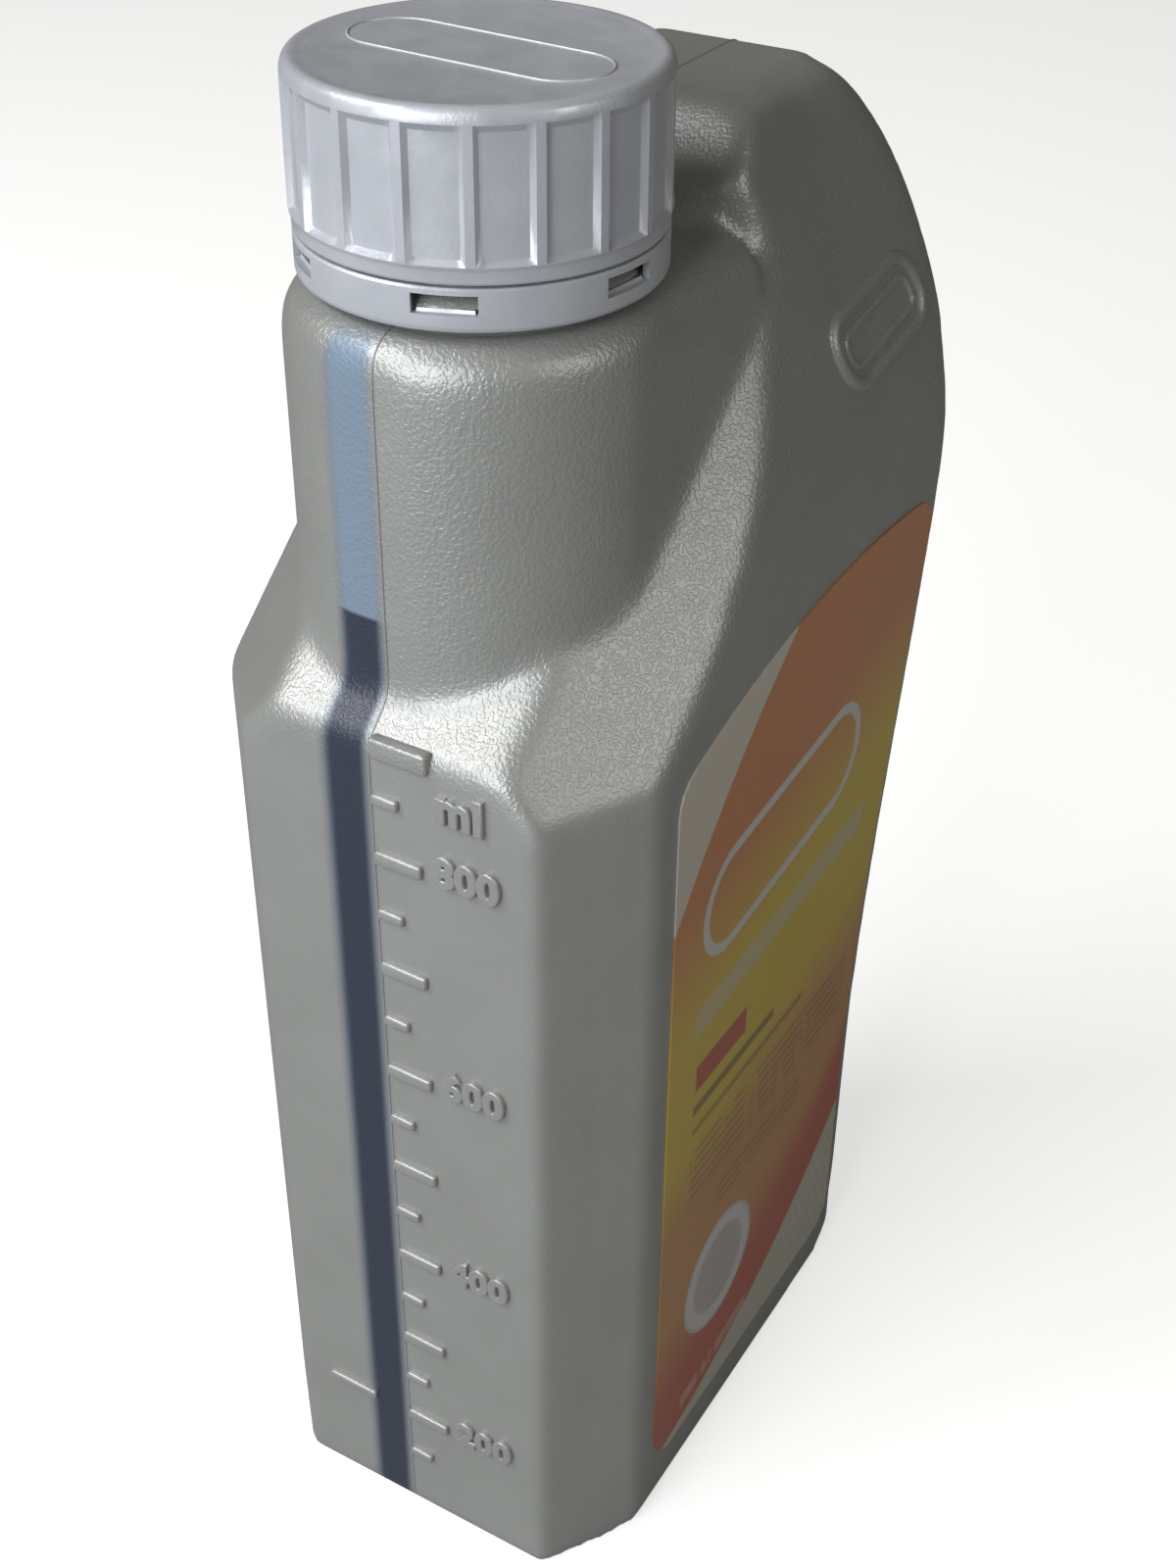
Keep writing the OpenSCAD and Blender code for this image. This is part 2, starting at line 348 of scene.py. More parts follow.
skin = closed_copy("bottle")
spout_reach = neck_r + NECK_REACH
neck_faces = [face for face in skin.faces
              if max(v.co.z for v in face.verts) > shelf_z + HAIR
              and all(math.hypot(v.co.x - spout_x, v.co.y) < spout_reach for v in face.verts)]
bmesh.ops.delete(skin, geom=neck_faces, context="FACES")
outer = connected(min(skin.verts, key=lambda v: v.co.z))
bmesh.ops.delete(skin, geom=[v for v in skin.verts if v not in outer], context="VERTS")
bmesh.ops.holes_fill(skin, edges=[edge for edge in skin.edges if edge.is_boundary], sides=0)
for v in skin.verts:
    v.co.x = max(v.co.x, face_x)
bottle = remeshed("bottle_skin", skin, VOXEL)
skin = bmesh.new()
skin.from_mesh(bottle.data)
soften(skin, skin.verts, FOOT_STEPS)
soften(skin, [v for v in skin.verts if v.co.x > FOOT_BACK_X and v.co.z < FOOT_BACK_Z], FOOT_BACK_STEPS)
for stage in range(STAGES):
    above_foot = [v for v in skin.verts if v.co.z > FOOT_LOW + stage * FOOT_RISE]
    soften(skin, above_foot, FACE_STEPS)
    corners = [v for v in above_foot if v.co.x > BACK_X + stage * BACK_SHIFT and abs(v.co.y) > BACK_Y]
    soften(skin, corners, CORNER_STEPS)
for v in skin.verts:
    if v.co.z < FOOT_LOW:
        corner_gap = (v.co.x - face_x + 2 * (PUSH_CORNER_Y - abs(v.co.y)) + PUSH_CORNER_X) / 2
        edge_gap = min(v.co.x - face_x, PUSH_BACK_X - v.co.x, bottle_high.y - abs(v.co.y), corner_gap)
        v.co.z += PUSH_UP * ramp01(edge_gap, PUSH_FROM, PUSH_TO)
low = min(v.co.z for v in skin.verts)
for v in skin.verts:
    v.co.z -= low * ramp01(-v.co.z, -LOWERED_TO, 0)
skin.to_mesh(bottle.data)
skin.free()
bottle.data.shade_smooth()


def pearl(name):
    """The bottle's plastic: pearly grey with a leather grain that is stronger on the spout and grip."""
    made = Finish(name, Metallic=PEARL_METAL, IOR=1.5)
    grain = made.noise(GRAIN, 1.5, 0.45)
    fine = made.noise(GRAIN_FINE, 1.0, 0.5)
    leather = grain.above(0.5, 0.22) * 0.75 + fine * 0.4
    leather = leather * (0.3 + 0.7 * made.z.above(GRAIN_FROM, 5) * made.z.below(GRAIN_TO, 30))
    cloud = made.noise(CLOUD)
    made.bump(leather, GRAIN_DEPTH, 0.85)
    made.feed("Roughness", cloud * 0.06 + 0.36)
    return made, cloud.above(0.5, 0.7).blend(PEARL_DARK, PEARL_LIGHT)


def linear(red, green, blue):
    """A colour given as it looks on screen, 11 to 255, as the numbers that a shader takes."""
    return tuple(((c / 255 + 0.055) / 1.055) ** 2.4 for c in (red, green, blue))


STRIPE_DRY = linear(124, 141, 160)
STRIPE_WET = linear(48, 54, 70)
HALO_DRY = linear(140, 150, 163)
HALO_WET = linear(98, 108, 126)
shell_finish, shell_colour = pearl("pearly plastic")
on_front = shell_finish.x.below(spout_x / MM, 4)
off_shelf = shell_finish.z.below(shelf_z / MM - 1.5, 3)
stripe_width = shell_finish.y.above(STRIPE_RIGHT, 1.2) * shell_finish.y.below(STRIPE_LEFT, 1.6)
stripe_core = stripe_width * on_front * off_shelf
stripe_glow = shell_finish.y.between(STRIPE_RIGHT - 0.6, STRIPE_LEFT + 0.7, 2.6) * on_front * off_shelf
wet = shell_finish.z.below(fluid_top / MM, 0.7)
shell_colour = stripe_glow.blend(shell_colour, wet.blend(HALO_DRY, HALO_WET))
shell_colour = stripe_core.blend(shell_colour, wet.blend(STRIPE_DRY, STRIPE_WET))
shell_finish.feed("Base Color", shell_colour)
shell_finish.feed("Metallic", PEARL_METAL - STRIPE_METAL_LESS * stripe_core)
bottle.data.materials.append(shell_finish.material)
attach(bottle, "bottle_body")
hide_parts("bottle")


# The seam: the flash left where the two halves of the blow mould met, a hair of plastic that runs down
# the column and the scale face beside the stripe, and over the grip and down the back.
SEAM_Y = -0.5 * MM
SEAM_R = 0.16 * MM
SEAM_FOOT = 2 * MM
SEAM_SHELF = 4 * MM
SEAM_INTO_NECK = 1 * MM


def thicken(piece, radius, rounding):
    """Turns a piece that is a line of edges into a round cord of the given radius."""
    bpy.ops.object.select_all(action="DESELECT")
    bpy.context.view_layer.objects.active = piece
    piece.select_set(True)
    bpy.ops.object.convert(target="CURVE")
    piece.data.bevel_depth = radius
    piece.data.bevel_resolution = rounding
    bpy.ops.object.convert(target="MESH")
    piece.data.materials.clear()
    piece.data.shade_smooth()


outline = bmesh.new()
outline.from_mesh(bottle.data)
bmesh.ops.bisect_plane(outline, geom=[*outline.verts, *outline.edges, *outline.faces], dist=1e-7,
                       plane_co=(0, SEAM_Y, 0), plane_no=(0, 1, 0), clear_inner=True, clear_outer=True)
hidden = [v for v in outline.verts if v.co.z < SEAM_FOOT or
          (v.co.z > shelf_z - SEAM_SHELF and abs(v.co.x - spout_x) < neck_r - SEAM_INTO_NECK)]
bmesh.ops.delete(outline, geom=hidden, context="VERTS")
for v in outline.verts:
    v.co.x = min(v.co.x, bottle_high.x - SEAM_R)
    v.co.z = min(v.co.z, bottle_high.z)
seam = in_object("mould_seam", outline)
thicken(seam, SEAM_R, 1)
plain_finish, plain_colour = pearl("pearly plastic, moulded relief")
plain_finish.feed("Base Color", plain_colour)
seam.data.materials.append(plain_finish.material)
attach(seam, "bottle_body")
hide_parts("bottle")


# The scale: raised marks and figures that the mould pressed into the front face, one mark for each
# 50 ml, longer ones for each 100 ml, a block at the shoulder and a lone mark across the stripe.
MARK_W = 2.2 * MM
MARK_THIN = 1.75 * MM
MARK_LONG = 7.4 * MM
MARK_SHORT = 4.1 * MM
MARK_START = -0.8 * MM
MARK_200 = 23.3 * MM
MARK_STEP = 18.7 * MM
SHOULDER_Z = 153 * MM
FIGURE_H = 4.35 * MM
UNIT_H = 4.8 * MM
FIGURE_BOLD = 0.17 * MM
FIGURE_START = -10.2 * MM
FIGURE_RAISED = 0.24 * MM
FIGURE_ROUND = 0.26 * MM
FIGURE_DROP = 0.5 * MM
CAPITAL = 0.7
UNIT_START = FIGURE_START - 0.7 * MM
UNIT_LEVEL = 840
UNIT_RISE = 2.35 * MM
MARK_SUNK = 0.6 * MM
MARK_ROUND = 0.44 * MM
BLOCK_START = MARK_START - 0.1 * MM
BLOCK_LONG = 8.8 * MM
BLOCK_W = 3.1 * MM
BLOCK_ROUND = 0.49 * MM
BLOCK_SUNK = 1.5 * MM
BLOCK_DROP = 0.2 * MM
LONE_START = 14.9 * MM
LONE_LONG = 9.2 * MM


def level(ml):
    """The height of the scale's mark for so many millilitres."""
    return MARK_200 + (ml - 200) / 100 * MARK_STEP


def mark(name, y, length, z, width, rounding=MARK_ROUND, sunk=MARK_SUNK):
    """A rounded bar on the front face that starts at y and runs towards -Y."""
    bm = bmesh.new()
    bmesh.ops.create_cube(bm, size=1)
    bmesh.ops.scale(bm, vec=(MARK_H + sunk, length, width), verts=bm.verts)
    bmesh.ops.translate(bm, vec=(face_x + (sunk - MARK_H) / 2, y - length / 2, z), verts=bm.verts)
    bmesh.ops.bevel(bm, geom=bm.edges, offset=rounding, affect="EDGES", segments=3, profile=0.5, material=-1)
    made = in_object(name, bm)
    made.data.materials.append(plain_finish.material)
    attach(made, "bottle_body")
    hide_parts("bottle")


for ml in range(150, 900, 50):
    whole = ml % 100 == 0
    mark(f"mark_{ml}", MARK_START, MARK_LONG if whole else MARK_SHORT, level(ml),
         MARK_W if whole else MARK_THIN)
mark("mark_block", BLOCK_START, BLOCK_LONG, SHOULDER_Z - BLOCK_DROP, BLOCK_W, BLOCK_ROUND, BLOCK_SUNK)
mark("mark_lone", LONE_START, LONE_LONG, level(200), MARK_THIN)


def figures(name, words, y, z, height):
    """Raised words on the front face, read from the front, with their lower edge at z."""
    curve = bpy.data.curves.new(name, "FONT")
    curve.body = words
    curve.size = height / CAPITAL
    curve.offset = FIGURE_BOLD
    curve.extrude = FIGURE_RAISED
    curve.bevel_depth = FIGURE_ROUND
    curve.bevel_resolution = 2
    curve.resolution_u = 5
    curve.space_character = 1.08
    made = bpy.data.objects.new(name, curve)
    scene.collection.objects.link(made)
    mesh = bpy.data.meshes.new_from_object(made.evaluated_get(bpy.context.evaluated_depsgraph_get()))
    bpy.data.objects.remove(made)
    mesh.transform(Matrix(((0, 0, -1, face_x), (-1, 0, 0, y), (0, 1, 0, z), (0, 0, 0, 1))))
    raised = in_object(name, mesh)
    mesh.set_sharp_from_angle(angle=math.radians(50))
    mesh.materials.clear()
    mesh.materials.append(plain_finish.material)
    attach(raised, "bottle_body")
    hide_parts("bottle")


for ml in (200, 400, 600, 800):
    figures(f"figure_{ml}", str(ml), FIGURE_START, level(ml) - FIGURE_DROP, FIGURE_H)
figures("figure_ml", "ml", UNIT_START, level(UNIT_LEVEL) + UNIT_RISE, UNIT_H)


# The plain raised plate on each side of the grip: a broad rounded frame with a thin one inside it, that
# the mould pressed out of the leaning side.
PLATE_MIDDLE = (86.6, 184.9)
PLATE_HALF = (13.4, 5.0)
PLATE_ROUND = 4.6
PLATE_SLANT = 0.12
PLATE_LEAN = -0.42
PLATE_SUNK = 0.45
FRAME_R = 1.35 * MM
INNER_R = 0.75 * MM
INNER_STEP = 2.6
ROUND_STEPS = 8
STRAIGHT = 4 * MM
STRAIGHT_CUTS = 7
OUTSIDE_Y = 0.1


def side_y(x, z, side):
    """Where a line across the bottle at x and z meets its skin."""
    return bottle.ray_cast(Vector((x, side * OUTSIDE_Y, z)), Vector((0, -side, 0)))[1].y


def plate(name, side, half, rounding, radius):
    """A rounded frame on one side of the grip; half is its half length and height in millimetres."""
    bm = bmesh.new()
    loop = []
    for corner in range(4):
        sign_x = (1, -1, -1, 1)[corner]
        sign_z = (1, 1, -1, -1)[corner]
        for i in range(ROUND_STEPS + 1):
            angle = math.radians(90 * (corner + i / ROUND_STEPS))
            u = sign_x * (half[0] - rounding) + rounding * math.cos(angle)
            w = sign_z * (half[1] - rounding) + rounding * math.sin(angle)
            x = face_x + (PLATE_MIDDLE[0] + u + PLATE_LEAN * w) * MM
            z = (PLATE_MIDDLE[1] + w + PLATE_SLANT * u) * MM
            loop.append(bm.verts.new((x, 0, z)))
    for i, vert in enumerate(loop):
        bm.edges.new((vert, loop[(i + 1) % len(loop)]))
    long_edges = [edge for edge in bm.edges if edge.calc_length() > STRAIGHT]
    bmesh.ops.subdivide_edges(bm, edges=long_edges, cuts=STRAIGHT_CUTS)
    for v in bm.verts:
        v.co.y = side_y(v.co.x, v.co.z, side) - side * radius * PLATE_SUNK
    made = in_object(name, bm)
    thicken(made, radius, 3)
    made.data.materials.append(plain_finish.material)
    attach(made, "bottle_body")
    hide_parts("bottle")


inner_half = (PLATE_HALF[0] - INNER_STEP, PLATE_HALF[1] - INNER_STEP)
for side, name in ((-1, "front"), (1, "back")):
    plate(f"grip_plate_{name}", side, PLATE_HALF, PLATE_ROUND, FRAME_R)
    plate(f"grip_plate_{name}_step", side, inner_half, PLATE_ROUND - INNER_STEP, INNER_R)


# The neck: the round mouth of the same blown piece, with a bead that holds the tamper ring down and a
# right-handed thread of two turns for the cap. Foil is welded over its mouth.
THREAD_RISE = 4.2 * MM
THREAD_TURNS = 2.2
THREAD_STEPS = 72
THREAD_OUT = 1.0 * MM
THREAD_SUNK = 0.3 * MM
THREAD_UP = 5.4 * MM
STEPS = 144
BEAD_UP = 3.05 * MM
BEAD_OUT = 1.9 * MM
NECK_WALL = 2.2 * MM
mouth_z = neck_box[0][2]
bead_z = shelf_z + BEAD_UP
bead_r = neck_r + BEAD_OUT
mouth_r = neck_r - NECK_WALL


def turned(profile, steps=STEPS, closed=True):
    """The profile, a list of (radius, height) in metres, spun about the spout's axis."""
    bm = bmesh.new()
    points = [bm.verts.new((spout_x + r, 0, z)) for r, z in profile]
    pairs = list(zip(points, points[1:] + points[:1])) if closed else list(zip(points, points[1:]))
    edges = [bm.edges.new(pair) for pair in pairs]
    bmesh.ops.spin(bm, geom=points + edges, cent=(spout_x, 0, 0), axis=(0, 0, 1), angle=math.tau,
                   steps=steps, use_merge=True, use_duplicate=False)
    bmesh.ops.remove_doubles(bm, verts=bm.verts, dist=1e-7)
    bmesh.ops.recalc_face_normals(bm, faces=bm.faces)
    return bm


def arc(centre, radius, first, last, steps):
    """Points round a centre, from one angle in degrees to another."""
    return [(centre[0] + radius * math.cos(math.radians(first + (last - first) * i / steps)),
             centre[1] + radius * math.sin(math.radians(first + (last - first) * i / steps)))
            for i in range(steps + 1)]


def thread(name, root_r, reach, low_z, body, node, material):
    """A helical ridge that stands out of the wall at root_r by reach, or inwards where reach is negative."""
    bm = bmesh.new()
    sunk_r = root_r - math.copysign(THREAD_SUNK, reach)
    section = [(sunk_r, -0.95 * MM), (root_r + reach, -0.3 * MM),
               (root_r + reach, 0.25 * MM), (sunk_r, 0.75 * MM)]
    points = [bm.verts.new((spout_x + r, 0, low_z + z)) for r, z in section]
    edges = [bm.edges.new(pair) for pair in zip(points, points[1:] + points[:1])]
    face = bm.faces.new(points)
    bmesh.ops.spin(bm, geom=[*points, *edges, face], cent=(spout_x, 0, 0), axis=(0, 0, 1),
                   dvec=(0, 0, THREAD_RISE / THREAD_STEPS), angle=math.tau * THREAD_TURNS,
                   steps=int(THREAD_STEPS * THREAD_TURNS), use_duplicate=False)
    bmesh.ops.recalc_face_normals(bm, faces=bm.faces)
    made = in_object(name, bm)
    made.data.set_sharp_from_angle(angle=math.radians(35))
    made.data.materials.append(material)
    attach(made, body)
    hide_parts(node)


neck_finish, neck_colour = pearl("pearly plastic, neck")
neck_finish.feed("Base Color", neck_colour)
neck = in_object("neck", turned([
    (mouth_r, shelf_z - 2 * MM), (neck_r + 0.8 * MM, shelf_z - 2 * MM),
    (neck_r + 0.8 * MM, shelf_z - 0.3 * MM),
    (neck_r + 0.3 * MM, shelf_z + 0.1 * MM), (neck_r, shelf_z + 0.5 * MM), (neck_r, bead_z - 0.1 * MM),
    (bead_r - 0.3 * MM, bead_z), (bead_r, bead_z + 0.3 * MM), (bead_r - 0.2 * MM, bead_z + 0.6 * MM),
    (neck_r + 0.3 * MM, bead_z + 1.5 * MM), (neck_r, bead_z + 1.8 * MM), (neck_r, mouth_z - 0.4 * MM),
    (neck_r - 0.4 * MM, mouth_z), (mouth_r + 0.3 * MM, mouth_z), (mouth_r, mouth_z - 0.3 * MM)]))
neck.data.set_sharp_from_angle(angle=math.radians(40))
neck.data.materials.append(neck_finish.material)
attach(neck, "bottle_body")
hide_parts("bottle")
thread("neck_thread", neck_r, THREAD_OUT, bead_z + THREAD_UP, "bottle_body", "bottle",
       neck_finish.material)


# The fluid: clear red oil that fills the bottle up to its level. It is all one body, with the soft corners
# of the bottle's inner side and a sharp, flat surface.
FLUID_VOXEL = 2.2 * MM
FLUID_EDGE = 2.5 * MM
FLUID_STEPS = 5
FLUID_BACK_X = 18 * MM
FLUID_BACK_Y = 19 * MM
FLUID_BACK_STEPS = 12
OIL_DARK = (0.30, 0.035, 0.025)
OIL_LIGHT = (0.40, 0.055, 0.035)
oil = closed_copy("transmission_fluid")
fluid = remeshed("fluid_fill", oil, FLUID_VOXEL)
oil = bmesh.new()
oil.from_mesh(fluid.data)
under_surface = [v for v in oil.verts if v.co.z < fluid_top - FLUID_EDGE]
soften(oil, under_surface, FLUID_STEPS)
soften(oil, [v for v in oil.verts if v.co.z < fluid_top - FLUID_EDGE
             and v.co.x > FLUID_BACK_X and abs(v.co.y) > FLUID_BACK_Y], FLUID_BACK_STEPS)
oil.to_mesh(fluid.data)
oil.free()
fluid.data.shade_smooth()
fluid.data.set_sharp_from_angle(angle=math.radians(50))
fluid_finish = Finish("red oil", Roughness=0.08, IOR=1.47)
fluid_finish.feed("Base Color", fluid_finish.noise(30).blend(OIL_DARK, OIL_LIGHT))
fluid.data.materials.append(fluid_finish.material)
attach(fluid, "bottle_body")
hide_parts("transmission_fluid")


# The seals: a foil welded on the mouth, crinkled by the heat, and the white foam wad in the cap that
# presses on it.
FOIL_SHADED_HOLLOW = (0.72, 0.72, 0.74)
FOIL_LIGHT = (0.86, 0.86, 0.87)
FOAM_SHADED_PORE = (0.80, 0.80, 0.77)
FOAM_LIGHT = (0.90, 0.90, 0.88)


def dress(node, finish):
    """Gives a CAD node, which keeps its own shape, a finish."""
    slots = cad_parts[node].data.materials
    slots.clear()
    slots.append(finish.material)


foil_finish = Finish("foil", Metallic=1.0)
crinkle_and_shade = foil_finish.noise(1.6, 3)
foil_finish.bump(crinkle_and_shade, 0.12, 0.6)
foil_finish.feed("Roughness", foil_finish.noise(4) * 0.2 + 0.22)
# The crinkle is real relief; the foil's colour is painted shade, darker in the crinkle's hollows.
foil_finish.feed("Base Color", crinkle_and_shade.blend(FOIL_SHADED_HOLLOW, FOIL_LIGHT))
dress("foil_seal", foil_finish)
wad_finish = Finish("white foam", Roughness=0.85)
pores_and_shade = wad_finish.noise(0.4)
wad_finish.bump(pores_and_shade, 0.05, 0.7)
# The pores are real relief; the foam's colour is painted shade, darker in the pores.
wad_finish.feed("Base Color", pores_and_shade.blend(FOAM_SHADED_PORE, FOAM_LIGHT))
dress("cap_liner", wad_finish)


# The tamper ring: a moulded band of the cap's plastic, left on the neck when the cap is first turned. Its
# lip hooks under the neck's bead, and six windows with low pawls behind them pass through it.
ring_low, ring_high = (Vector(corner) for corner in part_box("tamper_ring"))
ring_r = (ring_high.x - ring_low.x) / 2
RING_T = 1.0 * MM
RING_ROUND = 0.9 * MM
LIP_OUT = 1.3 * MM
LIP_H = 1.2 * MM
WINDOWS = 6
WINDOW_TURN = 22
WINDOW_SIZE = (7.8 * MM, 2.4 * MM)
WINDOW_CUT = 4 * MM
WINDOW_Z = ring_low.z + 2.2 * MM
PAWL_SIZE = (0.5 * MM, WINDOW_SIZE[0] - 1.0 * MM, 0.9 * MM)
PAWL_IN = RING_T + 0.2 * MM
PAWL_DOWN = 0.1 * MM
PAWL_LEAN = -22
SILVER_DARK = (0.52, 0.535, 0.59)
SILVER_LIGHT = (0.57, 0.585, 0.635)


def cap_plastic(name):
    """The cap's plastic: silver-lilac, half gloss, with patches of fine grain."""
    made = Finish(name, Metallic=0.3, IOR=1.5)
    grain = made.noise(0.45, 2.0, 0.5, stretch=(1, 1, 0.7))
    patch = made.noise(5, 2.0).above(0.48, 0.18)
    made.bump(grain * patch + grain * 0.25, 0.05, 0.7)
    made.feed("Roughness", 0.3 + 0.12 * patch)
    return made, made.noise(9).above(0.5, 0.6).blend(SILVER_DARK, SILVER_LIGHT)


def window_place(i, inwards, z):
    """The turn and place of something in the ring's window number i."""
    turn = Matrix.Rotation(math.radians(WINDOW_TURN + 360 / WINDOWS * i), 4, "Z")
    return Matrix.Translation((spout_x, 0, 0)) @ turn @ Matrix.Translation((ring_r - inwards, 0, z))


cap_finish, cap_colour = cap_plastic("silver plastic")
cap_finish.feed("Base Color", cap_colour)
lip_r = neck_r + LIP_OUT
ring = in_object("tamper_band", turned([
    (lip_r, ring_low.z), (ring_r - RING_ROUND, ring_low.z),
    *arc((ring_r - RING_ROUND, ring_low.z + RING_ROUND), RING_ROUND, -90, 0, 4)[1:],
    (ring_r, ring_high.z - 0.25 * MM), (ring_r - 0.25 * MM, ring_high.z),
    (ring_r - RING_T, ring_high.z), (ring_r - RING_T, ring_low.z + LIP_H),
    (lip_r, ring_low.z + LIP_H)], steps=180))
cutters = bmesh.new()
for i in range(WINDOWS):
    bmesh.ops.create_cube(cutters, size=1, matrix=window_place(i, 0, WINDOW_Z + WINDOW_SIZE[1] / 2)
                          @ Matrix.Diagonal((WINDOW_CUT, *WINDOW_SIZE, 1)))
cutter = in_object("window_cutter", cutters)
cut = ring.modifiers.new("windows", "BOOLEAN")
cut.object = cutter
cut.solver = "EXACT"
settle(ring)
bpy.data.objects.remove(cutter)
pawls = bmesh.new()
pawls.from_mesh(ring.data)
lean = Matrix.Rotation(math.radians(PAWL_LEAN), 4, "Y")
for i in range(WINDOWS):
    bmesh.ops.create_cube(pawls, size=1, matrix=window_place(i, PAWL_IN, WINDOW_Z - PAWL_DOWN) @ lean
                          @ Matrix.Diagonal((*PAWL_SIZE, 1)))
pawls.to_mesh(ring.data)
pawls.free()
ring.data.shade_smooth()
ring.data.set_sharp_from_angle(angle=math.radians(35))
ring.data.materials.clear()
ring.data.materials.append(cap_finish.material)
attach(ring, "bottle_body")
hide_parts("tamper_ring")


# The screw cap: injection moulded, with eighteen ribs between recessed panels, a plain rim band at its
# foot, a rounded upper edge and a fine raised frame on its top. Its thread is inside the skirt.
cap_low, cap_high = (Vector(corner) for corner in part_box("screw_cap"))
rib_r = (cap_high.y - cap_low.y) / 2
RIBS = 18
RIB_TURN = 10
SECTOR_STEPS = 14
PANEL_DEPTH = 0.75 * MM
BAND_R = rib_r - 0.3 * MM
BORE_R = 20.6 * MM
CAP_EDGE = 1.3 * MM
TOP_DISH = 0.2 * MM
TOP_T = 1.6 * MM
RIB_HALF = 2.2
RIB_EDGE = 0.11 * MM
SHARP_FROM = math.radians(24)
SHARP_T = 1.2 * MM
SHARP_BELOW = 0.5 * MM
SIDE_T = 0.6 * MM
CAP_THREAD_OUT = 0.85 * MM
CAP_THREAD_UP = 7.5 * MM
FRAME_HALF = (17.6 * MM, 5.9 * MM)
FRAME_TURN = math.radians(87)
FRAME_LINE = 0.36 * MM
FRAME_STEPS = 16
foot_z = cap_low.z
panel_foot = foot_z + 2.9 * MM
panel_head = cap_high.z - 2.4 * MM
cap_profile = [
    (0, cap_high.z - TOP_DISH),
    (rib_r - CAP_EDGE - 1.6 * MM, cap_high.z - TOP_DISH),
    (rib_r - CAP_EDGE - 0.9 * MM, cap_high.z - TOP_DISH / 2),
    *arc((rib_r - CAP_EDGE - 0.25 * MM, cap_high.z - CAP_EDGE), CAP_EDGE, 90, 8, 7),
    (rib_r - 0.14 * MM, panel_head + 0.9 * MM),
    (rib_r - 0.12 * MM, panel_head + 0.55 * MM),
    (rib_r - 0.1 * MM, panel_head - 0.35 * MM),
    (rib_r - 0.05 * MM, (panel_foot + panel_head) / 2),
    (rib_r - 0.02 * MM, panel_foot),
    (rib_r, panel_foot - 0.7 * MM),
    (BAND_R + 0.12 * MM, foot_z + 1.9 * MM),
    (BAND_R, foot_z + 1.6 * MM),
    (BAND_R, foot_z + 0.35 * MM),
    (BAND_R - 0.3 * MM, foot_z),
    (BORE_R + 0.3 * MM, foot_z),
    (BORE_R, foot_z + 0.3 * MM),
    (BORE_R, cap_high.z - TOP_T),
    (0, cap_high.z - TOP_T)]
cap_bm = turned(cap_profile, steps=RIBS * SECTOR_STEPS, closed=False)
sector = 360 / RIBS
for v in cap_bm.verts:
    offset = Vector((v.co.x - spout_x, v.co.y, 0))
    on_side = offset.length > rib_r - SIDE_T and panel_foot - HAIR < v.co.z < panel_head
    angle = math.degrees(math.atan2(offset.y, offset.x))
    from_rib = abs((angle - RIB_TURN + sector / 2) % sector - sector / 2)
    if on_side and from_rib > RIB_HALF:
        v.co -= offset.normalized() * PANEL_DEPTH
sharp = [edge for edge in cap_bm.edges
         if len(edge.link_faces) == 2 and edge.calc_face_angle() > SHARP_FROM
         and min(math.hypot(v.co.x - spout_x, v.co.y) for v in edge.verts) > rib_r - SHARP_T
         and edge.verts[0].co.z < cap_high.z - SHARP_BELOW]
bmesh.ops.bevel(cap_bm, geom=sharp, offset=RIB_EDGE, affect="EDGES", segments=2, profile=0.5, material=-1,
                clamp_overlap=True)
cap = in_object("ribbed_cap", cap_bm)
cap.data.set_sharp_from_angle(angle=math.radians(38))
cap.data.materials.append(cap_finish.material)
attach(cap, "cap_body")
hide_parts("screw_cap")
thread("cap_thread", BORE_R, -CAP_THREAD_OUT, bead_z + CAP_THREAD_UP, "cap_body", "screw_cap",
       cap_finish.material)

frame_bm = bmesh.new()
straight_half = FRAME_HALF[0] - FRAME_HALF[1]
one_end = arc((straight_half, 0), FRAME_HALF[1], -90, 90, FRAME_STEPS)
other_end = arc((-straight_half, 0), FRAME_HALF[1], 90, 270, FRAME_STEPS)
loop = [frame_bm.verts.new((x, y, 0)) for x, y in one_end + other_end]
for i, vert in enumerate(loop):
    frame_bm.edges.new((vert, loop[(i + 1) % len(loop)]))
bmesh.ops.transform(frame_bm, verts=frame_bm.verts, matrix=Matrix.Translation(
    (spout_x, 0, cap_high.z - TOP_DISH)) @ Matrix.Rotation(FRAME_TURN, 4, "Z"))
top_frame = in_object("cap_top_frame", frame_bm)
thicken(top_frame, FRAME_LINE / 2, 2)
top_frame.data.materials.append(cap_finish.material)
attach(top_frame, "cap_body")
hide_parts("screw_cap")


# The labels: glossy printed film on both flat sides, in orange and yellow fields with a cream corner, a
# red sweep and a pale foot. The print is plain shapes and bars, placed by u, the millimetres from the front
# face, and w, those from the foot.
def film(name):
    """The film, with u and w on it."""
    made = Finish(name, Roughness=0.32, IOR=1.5)
    made.feed("Coat Weight", 0.35)
    made.feed("Coat Roughness", 0.12)
    orange_peel = made.noise(2.4, 2.0)
    made.bump(orange_peel, 0.02, 0.4)
    return made, made.x - face_x / MM, made.z


def distance(u, w, centre):
    """How far a point of the film is from the centre."""
    return ((u - centre[0]).power(2) + (w - centre[1]).power(2)).power(0.5)


def bar(u, w, left, right_end, low_edge, high_edge):
    """1 on a bar of the print and 0 around it."""
    return u.between(left, right_end, 0.4) * w.between(low_edge, high_edge, 0.35)


def stripes(value, pitch):
    """A wave from -1 to 1 that repeats after so many millimetres."""
    return (value * (math.tau / pitch)).sine()


def fade(value, stops):
    """The colours at their places along the value."""
    return value.node("ShaderNodeValToRGB", {"Fac": value}, stops=stops)


